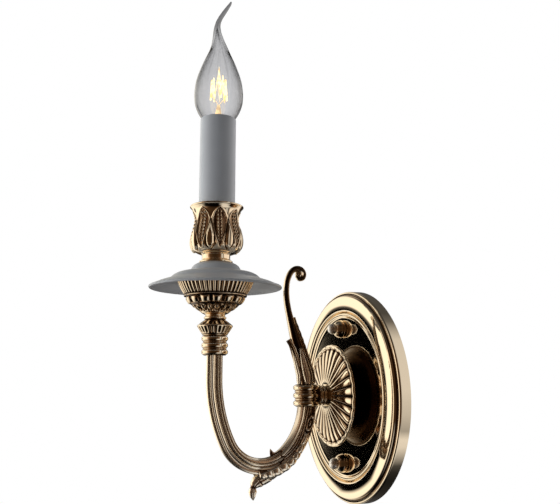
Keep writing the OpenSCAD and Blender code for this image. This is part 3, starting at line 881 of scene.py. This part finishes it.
def lower_cup():
    """Cup under the pan: small leaves at the foot, a row of lobes and a flared fluted skirt."""
    b = base_of("fluted_cup")
    ledge = b + 13.4
    line = ([(5.0, b), (6.6, b), (6.8, b + 1.0), (9.2, b + 2.2), (9.9, b + 3.0), (10.2, b + 3.6)]
            + curve([(11.4, b + 4.6), (14.2, b + 6.3), (17.2, b + 8.4), (19.2, b + 10.9),
                     (19.9, b + 12.9)], 8)
            + [(20.2, ledge - 0.2), (21.4, ledge), (21.5, ledge + 0.6), (21.0, ledge + 1.1)]
            + curve([(21.6, ledge + 1.8), (23.4, ledge + 4.6), (25.2, ledge + 8.2), (27.0, ledge + 12.4)], 8)
            + [(27.3, ledge + 13.0), (26.2, ledge + 13.0)]
            + curve([(24.0, ledge + 9.4), (20.2, ledge + 2.2), (17.6, ledge - 1.8), (13.0, ledge - 5.4),
                     (5.0, ledge - 6.6)], 5))

    def carving(radius, height, angle):
        outside = (height < ledge + 12.6) & (radius > 10)
        skirt = smooth_step(height, ledge + 1.0, ledge + 1.6)
        rib = np.clip((np.abs(np.sin(24 * angle)) - 0.3) / 0.7, 0, 1) ** 0.6
        lobed = smooth_step(height, b + 8.2, b + 9.2) * (1 - smooth_step(height, b + 12.2, b + 12.9))
        lobe = np.clip((np.abs(np.sin(7 * angle)) - 0.30) / 0.70, 0, 1) ** 0.5
        leafy = smooth_step(height, b + 1.6, b + 2.4) * (1 - smooth_step(height, b + 6.4, b + 7.6))
        lean = 2.0 * (height - b - 5) / 3.0
        leaves = np.abs(np.sin(8 * angle + lean)) * np.abs(np.sin(8 * angle - lean))
        push = (0.9 * (rib - 1) * skirt + 1.9 * (lobe - 0.6) * lobed + 1.3 * (leaves ** 0.7 - 0.4) * leafy)
        dark = ((1 - rib) * 1.1 * skirt + (1 - lobe) ** 1.5 * 1.2 * lobed + (1 - leaves ** 0.6) * 0.9 * leafy
                + bump(height - (ledge - 0.4), 0.5) + bump(height - (ledge + 1.2), 0.4)
                + 0.9 * bump(height - (b + 7.8), 0.7))
        return push * outside, np.clip(dark, 0, 1) * outside

    piece = turned("carved_cup", fine(line, 0.4), BRASS, on_candle, carving, 576, 100)
    fit(piece, "root", "antique_brass", "fluted_cup")


def drip_pan():
    """Saucer with a raised middle, as thick all over."""
    top = corners("drip_pan")[1][2]
    rim = PAN_R
    thick = 1.5
    upper = curve([(5.0, top), (11.2, top), (13.4, top - 0.5), (15.6, top - 2.0), (17.0, top - 4.2),
                   (18.0, top - 5.5), (21, top - 6.0), (25.4, top - 6.9), (28.6, top - 8.4),
                   (30.6, top - 10.2), (33.0, top - 11.4), (38.4, top - 13.2), (42.6, top - 15.0)], 6)
    edge = arc((rim - 0.9, top - 16.6), 0.9, 70, -100, 8)
    lower = [(r, z - thick) for r, z in reversed(upper) if r < rim - 1.2]
    line = fine(upper + edge + lower, 0.9)
    piece = turned("drip_pan_dish", line, MATERIALS["pan_white"], on_candle, around=192)
    fit(piece, "root", "pan_white", "drip_pan")


# Leaves of the candle cup, and where the middle of the first one stands
PETALS = 8
PETAL_PHASE = math.radians(-9)


def tulip_cup():
    """Candle cup with eight leaves, each with two rows of beads, and drops between them."""
    low, high = corners("candle_cup")
    b = low[2]
    top = high[2]
    line = ([(5.0, b), (10.8, b)] + arc((10.6, b + 0.9), 0.9, -80, 80, 6)
            + curve([(10.2, b + 2.0), (9.7, b + 3.0), (9.7, b + 5.6)], 4)
            + curve([(10.6, b + 6.3), (13.4, b + 7.3), (15.8, b + 9.0), (17.2, b + 11.8),
                     (17.6, b + 15.4), (17.1, b + 19.6), (16.0, b + 24.4), (15.1, b + 29),
                     (15.2, b + 32.6), (16.3, b + 36.2), (17.9, b + 38.6)], 10)
            + arc((18.0, top - 0.7), 0.6, -40, 100, 6)
            + curve([(17.2, top - 0.8), (15.2, top - 4), (13.9, top - 8), (13.3, top - 12)], 6)
            + [(13.1, b + 9.6), (5.0, b + 9.6)])
    tip = b + 36.8
    foot = b + 8.4
    bead_pitch = 2.5

    def carving(radius, height, angle):
        outside = (radius > 13.2) & (height > b + 6)
        local = ((angle - PETAL_PHASE) / TURN * PETALS + 0.5) % 1 - 0.5
        across = np.abs(local) * TURN / PETALS * radius
        between = (0.5 - np.abs(local)) * TURN / PETALS * radius
        up = height - b
        half = np.interp(up, [8.4, 10, 12, 15, 20, 25, 29, 33, 35.4, 36.8],
                         [0.0, 1.0, 1.9, 2.9, 4.5, 5.3, 5.1, 3.7, 1.9, 0.0])
        drop_half = np.interp(up, [7.6, 8.6, 10, 12, 15, 18, 22, 26, 29],
                              [0, 1.4, 2.5, 3.1, 3.2, 2.8, 1.7, 0.7, 0])
        tall = (height > foot) & (height < tip)
        into = half - across
        panel = smooth_step(into, 0.5, 1.1) * tall
        border = bump(into, 0.6) * tall
        beads = bump(across - 1.15, 0.55) * np.abs(np.sin(np.pi * up / bead_pitch)) ** 0.7
        beads = beads * smooth_step(into, 1.2, 1.7) * tall
        drop_tall = (up > 7.6) & (up < 29)
        drop_in = drop_half - between
        drop = smooth_step(drop_in, 0.1, 1.7) * drop_tall
        gutter = bump(drop_in + 0.15, 0.4) * drop_tall
        push = -0.8 * panel + 0.5 * border + 1.35 * beads + 1.2 * drop - 0.4 * gutter
        dark = 0.5 * panel * (1 - smooth_step(beads, 0.1, 0.5)) + gutter + 0.3 * bump(up - 7.2, 0.5)
        return push * outside, np.clip(dark, 0, 1) * outside

    piece = turned("tulip_cup", fine(line, 0.3), BRASS, on_candle, carving, 480, 100)
    fit(piece, "root", "antique_brass", "candle_cup")


def candle_sleeve():
    """Plain tube with a softly rounded open end."""
    low = base_of("candle_sleeve")
    r = SLEEVE_R
    wall = 1.0
    line = ([(r - wall, low), (r, low), (r, SLEEVE_TOP - 0.4)]
            + arc((r - 0.4, SLEEVE_TOP - 0.4), 0.4, 0, 90, 5)
            + arc((r - wall + 0.3, SLEEVE_TOP - 0.3), 0.3, 90, 180, 4))
    piece = turned("candle_tube", fine(line, 2.0), MATERIALS["sleeve_white"], on_candle)
    fit(piece, "sleeve", "sleeve_white", "candle_sleeve")


# ---- Bulb ----

# The drawn-out tip bends this way from the candle's axis, seen from above
TIP_TURN = math.radians(68)


def bulb_glass():
    """Thin flame-shaped shell that closes into a solid bent tip."""
    base = base_of("bulb_glass")
    profile = curve([(6.7, base), (8, base + 2.4), (11.1, base + 6), (13.9, base + 10),
                     (15.8, base + 14), (17, base + 18), (BULB_R - 0.1, base + 21.6),
                     (BULB_R, base + 24), (BULB_R - 0.2, base + 27.6), (16.7, base + 32.5),
                     (15.6, base + 37), (14.3, base + 41), (12.6, base + 45.6), (10.8, base + 50),
                     (8.8, base + 54.4), (7.0, base + 58.6), (5.4, base + 63), (4.3, base + 67),
                     (3.3, base + 71), (2.6, base + 75), (2.05, base + 79), (1.85, base + 83),
                     (1.8, base + 87), (1.6, base + 91), (1.2, base + 94.6), (0.6, base + 97)], 4)
    wall = 0.75
    neck = base + 46
    hollow_top = base + 76
    inner = [((r - wall) * math.sqrt(1 - max(0, (z - neck) / (hollow_top - neck)) ** 2), z)
             for r, z in profile if z < hollow_top]
    inner.append((0.02, hollow_top))
    line = np.array(profile + [(0.0, base + 97.3)] + inner[::-1])
    bend_z = [base + 60, base + 64, base + 67, base + 71, base + 75, base + 79, base + 83,
              base + 87, base + 91, base + 94.6, base + 97]
    bend_out = [0, -0.5, -0.9, -1.5, -1.9, -1.6, -0.4, 2.0, 4.6, 6.8, 8.6]

    def place(p):
        shift = np.interp(p[..., 2], bend_z, bend_out)
        # Rounds off the corners of the interpolated bend
        for reach in (1.0, 2.0):
            shift = (shift + np.interp(p[..., 2] - reach, bend_z, bend_out)
                     + np.interp(p[..., 2] + reach, bend_z, bend_out)) / 3
        x = shift * math.cos(TIP_TURN)
        y = shift * math.sin(TIP_TURN)
        return on_candle(p + np.stack([x, y, np.zeros_like(shift)], -1))

    def tip_shade_and_streaks(radius, height, angle):
        # The solid tip is coloured dark as painted shade, and darker stripes run down the drawn-out part.
        tip = 0.72 * smooth_step(height, base + 60, base + 82)
        drawn = smooth_step(height, base + 24, base + 62)
        streaks = bump(np.sin(2.5 * angle + 0.6), 0.22) + 0.6 * bump(np.sin(3.5 * angle - 0.9), 0.16)
        return 0, np.clip(tip + 0.52 * drawn * streaks, 0, 0.8)

    piece = turned("flame_bulb", line, MATERIALS["clear_glass"], place, tip_shade_and_streaks, 96, 80)
    fit(piece, "bulb", "clear_glass", "bulb_glass")


def filament_loops():
    """Fine wire wound up and down between the stem and the hooks at the top."""
    strands = 9
    foot = 208.5
    crown = 222.0
    points = []
    for i in range(2 * strands + 1):
        turn = i / (2 * strands) * TURN
        spread = 5.0 if i % 2 else 6.0
        height = crown + 3.5 * math.cos(turn) ** 2 if i % 2 else foot
        points.append((spread * math.cos(turn) * 0.8, spread * math.sin(turn), height))
    points += [(0.5, 0.6, crown), (0.0, 0.0, crown + 10.6), (-0.4, -0.8, crown - 1)]
    line = bpy.data.curves.new("filament_wire", "CURVE")
    line.dimensions = "3D"
    line.bevel_depth = 0.7 * MM
    line.bevel_resolution = 2
    run = line.splines.new("POLY")
    run.points.add(len(points) - 1)
    for point, (x, y, z) in zip(run.points, points):
        point.co = (x * MM, (y + CANDLE_Y) * MM, z * MM, 1)
    line.materials.append(MATERIALS["glowing_filament"])
    piece = bpy.data.objects.new("filament_wire", line)
    bpy.context.scene.collection.objects.link(piece)
    fit(piece, "bulb", "glowing_filament", "bulb_filament")


# ---- Stage ----

# Camera, fitted to the photograph: its place in metres, how far it's turned about Z and how far it
# looks up, both in degrees, and its lens
CAMERA_AT = (0.4630, -0.2469, 0.0125)
CAMERA_TURN = 67.86
CAMERA_TILT = 10.01
CAMERA_LENS = 45.65


def add_camera():
    data = bpy.data.cameras.new("camera")
    data.lens = CAMERA_LENS
    data.sensor_width = 36
    data.clip_start = 0.01
    camera = bpy.data.objects.new("camera", data)
    turn = Matrix.Rotation(math.radians(CAMERA_TURN), 4, "Z")
    tilt = Matrix.Rotation(math.radians(90 + CAMERA_TILT), 4, "X")
    camera.matrix_world = Matrix.Translation(CAMERA_AT) @ turn @ tilt
    bpy.context.scene.collection.objects.link(camera)
    bpy.context.scene.camera = camera


def add_floor():
    """Pale round floor with a sloping edge, well below the light. The light doesn't mirror it."""
    around = 96
    points = []
    for radius, height in ((1200, -320), (1250, -330)):
        for a in np.linspace(0, TURN, around, endpoint=False):
            points.append((radius * math.cos(a), radius * math.sin(a), height))
    faces = [list(range(around))] + ring_faces(2, around, False)
    m = Nodes("floor_white")
    m.two_tone(m.noise(3, 2), 0.3, (0.82, 0.82, 0.82), 0.7, (0.86, 0.86, 0.86))
    m.set(Roughness=0.9, Emission_Color=(0.9, 0.9, 0.9, 1), Emission_Strength=0.38)
    floor = make_piece("floor", points, faces, m.material)
    floor.visible_glossy = False
    floor.visible_diffuse = False


class Sky(Tree):
    """Short way to write the world's nodes as functions of direction."""

    def __init__(self):
        world = bpy.data.worlds.new("studio")
        world.use_nodes = True
        bpy.context.scene.world = world
        self.tree = world.node_tree
        self.tree.nodes.clear()
        self.direction = self.add("ShaderNodeTexCoord").outputs["Generated"]
        self.rays = self.add("ShaderNodeLightPath").outputs

    def along(self, axis, stops):
        """Brightness or colour by the cosine of the angle from an axis, from (cosine, value)
        pairs."""
        cosine = self.add("ShaderNodeVectorMath", operation="DOT_PRODUCT")
        cosine.inputs[1].default_value = Vector(axis).normalized()
        self.link(self.direction, cosine.inputs[0])
        unit = self.add("ShaderNodeMapRange")
        unit.inputs["From Min"].default_value = -1
        self.link(cosine.outputs["Value"], unit.inputs["Value"])
        coloured = [((at + 1) / 2, value if isinstance(value, tuple) else (value,) * 3)
                    for at, value in stops]
        return self.colour_stops(unit.outputs["Result"], coloured)

    def mix(self, kind, first, second, fac=1.0):
        node = self.add("ShaderNodeMix", data_type="RGBA", blend_type=kind)
        self.give(fac, node.inputs["Factor"])
        self.give(first, node.inputs[6])
        self.give(second, node.inputs[7])
        return node.outputs[2]

    def product(self, first, *others):
        for other in others:
            first = self.mix("MULTIPLY", first, other)
        return first

    def lightest(self, first, *others):
        for other in others:
            first = self.mix("LIGHTEN", first, other)
        return first

    def finish(self, colour):
        background = self.add("ShaderNodeBackground")
        out = self.add("ShaderNodeOutputWorld")
        self.link(colour, background.inputs["Color"])
        self.link(background.outputs["Background"], out.inputs["Surface"])


# Directions in the studio, and how bright it is for shiny and for matt surfaces
UP = (0, 0, 1)
TO_WALL = (0, 1, 0)
TO_SIDE = (1, 0, 0)
TO_CAMERA = (0.883, -0.469, 0.0)
TO_RIGHT = (0.377, 0.926, 0.0)
TO_SCREEN = (-0.889, -0.459, 0.0)
ACROSS_SCREEN = (0.459, -0.889, 0.0)
BEHIND_BULB = (-0.877, 0.267, 0.398)
SHADE_SIDE = (1.0, 0.02, 0.0)
STUDIO_GLOW = 4.0
SOFT_GLOW = 5.0


def bright_walls(sky):
    """White behind the light, and warm and dark round the camera."""
    walls = sky.along(TO_CAMERA, [
        (-1, (0.03, 0.02, 0.01)), (-0.87, (0.08, 0.06, 0.04)), (-0.77, (1, 1, 1)), (0.10, (1, 1, 1)),
        (0.38, (0.66, 0.61, 0.54)), (0.55, (0.20, 0.13, 0.085)), (0.72, (0.03, 0.016, 0.008)),
        (1, (0.010, 0.006, 0.003))])
    above_behind = sky.product(
        sky.along(TO_CAMERA, [(-0.75, 0.9), (-0.60, 0)]),
        sky.along(UP, [(0.20, 0), (0.32, 1), (0.70, 1), (0.9, 0)]))
    return sky.lightest(walls, above_behind)


def dark_screen(sky):
    """The dark screen that the flat field of the plate mirrors."""
    return sky.lightest(
        sky.along(ACROSS_SCREEN, [(-0.08, 1), (-0.03, 0), (0.12, 0), (0.18, 1)]),
        sky.along(UP, [(-0.27, 1), (-0.21, 0), (0.08, 0), (0.12, 0.1), (0.15, 1)]),
        sky.along(TO_SCREEN, [(0.3, 1), (0.5, 0)]))


def shade_below(sky):
    """Shade under the light, on the side that the flat field doesn't mirror."""
    return sky.lightest(
        sky.along(UP, [(-0.70, 0.04), (-0.38, 1)]),
        sky.along(TO_SCREEN, [(0.25, 0), (0.50, 1)]))


def wall_strip(sky):
    """Dim upright strip of light close to the wall."""
    return sky.product(
        sky.along(TO_WALL, [(0.43, 0), (0.47, 0.22), (0.60, 0.22), (0.66, 0)]),
        sky.along(UP, [(-0.92, 0.1), (-0.7, 0.35), (-0.3, 0.8), (0.1, 1), (1, 1)]),
        sky.along(TO_SIDE, [(-0.15, 0.1), (0.05, 0.2), (0.4, 0.9), (1, 1)]))


def low_light(sky):
    """Dim light from below on the wall and camera side."""
    return sky.product(
        sky.along(UP, [(-1, 0.05), (-0.85, 0.26), (-0.62, 0.30), (-0.42, 0)]),
        sky.along(TO_WALL, [(-0.05, 0), (0.20, 0.8)]),
        sky.along(TO_CAMERA, [(-0.1, 0), (0.2, 1)]))


def studio(sky):
    """What shiny surfaces mirror."""
    room = sky.product(
        bright_walls(sky),
        sky.along(TO_WALL, [(0.36, 1), (0.43, 0.04), (0.68, 0.04), (0.76, 0.45)]),
        sky.along(UP, [(-1, 0.01), (-0.78, 0.06), (-0.55, 0.75), (-0.3, 1), (0.40, 1), (0.60, 0.30),
                       (0.80, 0.04), (1, 0.02)]),
        dark_screen(sky),
        sky.along(TO_RIGHT, [(-1, (1, 1, 0.99)), (-0.1, (0.80, 0.78, 0.76)), (1, (0.62, 0.57, 0.52))]),
        sky.along(TO_SCREEN, [(0.25, (1, 1, 1)), (0.62, (0.39, 0.378, 0.342))]),
        shade_below(sky))
    return sky.product(sky.lightest(room, wall_strip(sky), low_light(sky)), (STUDIO_GLOW,) * 3)


def soft_light(sky):
    """What lights matt surfaces: most of it from the level of the light and from the left."""
    return sky.product(
        sky.along(SHADE_SIDE, [(-1, 0.9), (0.10, 0.9), (0.50, 0.12), (1, 0.04)]),
        sky.along(TO_RIGHT, [(-1, 1), (0, 0.85), (1, 0.8)]),
        sky.along(UP, [(-1, (0.09, 0.09, 0.095)), (-0.3, (0.25, 0.255, 0.265)), (0, (0.97, 0.985, 1)),
                       (0.12, (0.85, 0.87, 0.90)), (0.35, (0.19, 0.193, 0.20)),
                       (1, (0.09, 0.092, 0.096))]),
        (SOFT_GLOW,) * 3)


def add_world():
    """White backdrop to look at, and a studio of dark and bright walls to be reflected."""
    sky = Sky()
    through_glass = sky.along(BEHIND_BULB, [(0.80, 0.70), (0.93, 0.98)])
    colour = sky.mix("MIX", studio(sky), soft_light(sky), sky.rays["Is Diffuse Ray"])
    colour = sky.mix("MIX", colour, through_glass, sky.rays["Is Transmission Ray"])
    colour = sky.mix("MIX", colour, (1, 1, 1), sky.rays["Is Camera Ray"])
    sky.finish(colour)


def build():
    finish_cad_nodes()
    backplate()
    rosette()
    ball_nut("upper")
    ball_nut("lower")
    stub()
    collar()
    reeded_arm()
    arm_leaf()
    arm_leaf_tip()
    scroll_stem()
    scroll_sheath()
    scroll_leaves()
    volute_eye()
    ferrule()
    knop()
    lower_cup()
    drip_pan()
    tulip_cup()
    candle_sleeve()
    bulb_glass()
    filament_loops()
    add_floor()
    add_camera()
    add_world()
    bpy.context.scene.view_settings.view_transform = "Standard"


build()
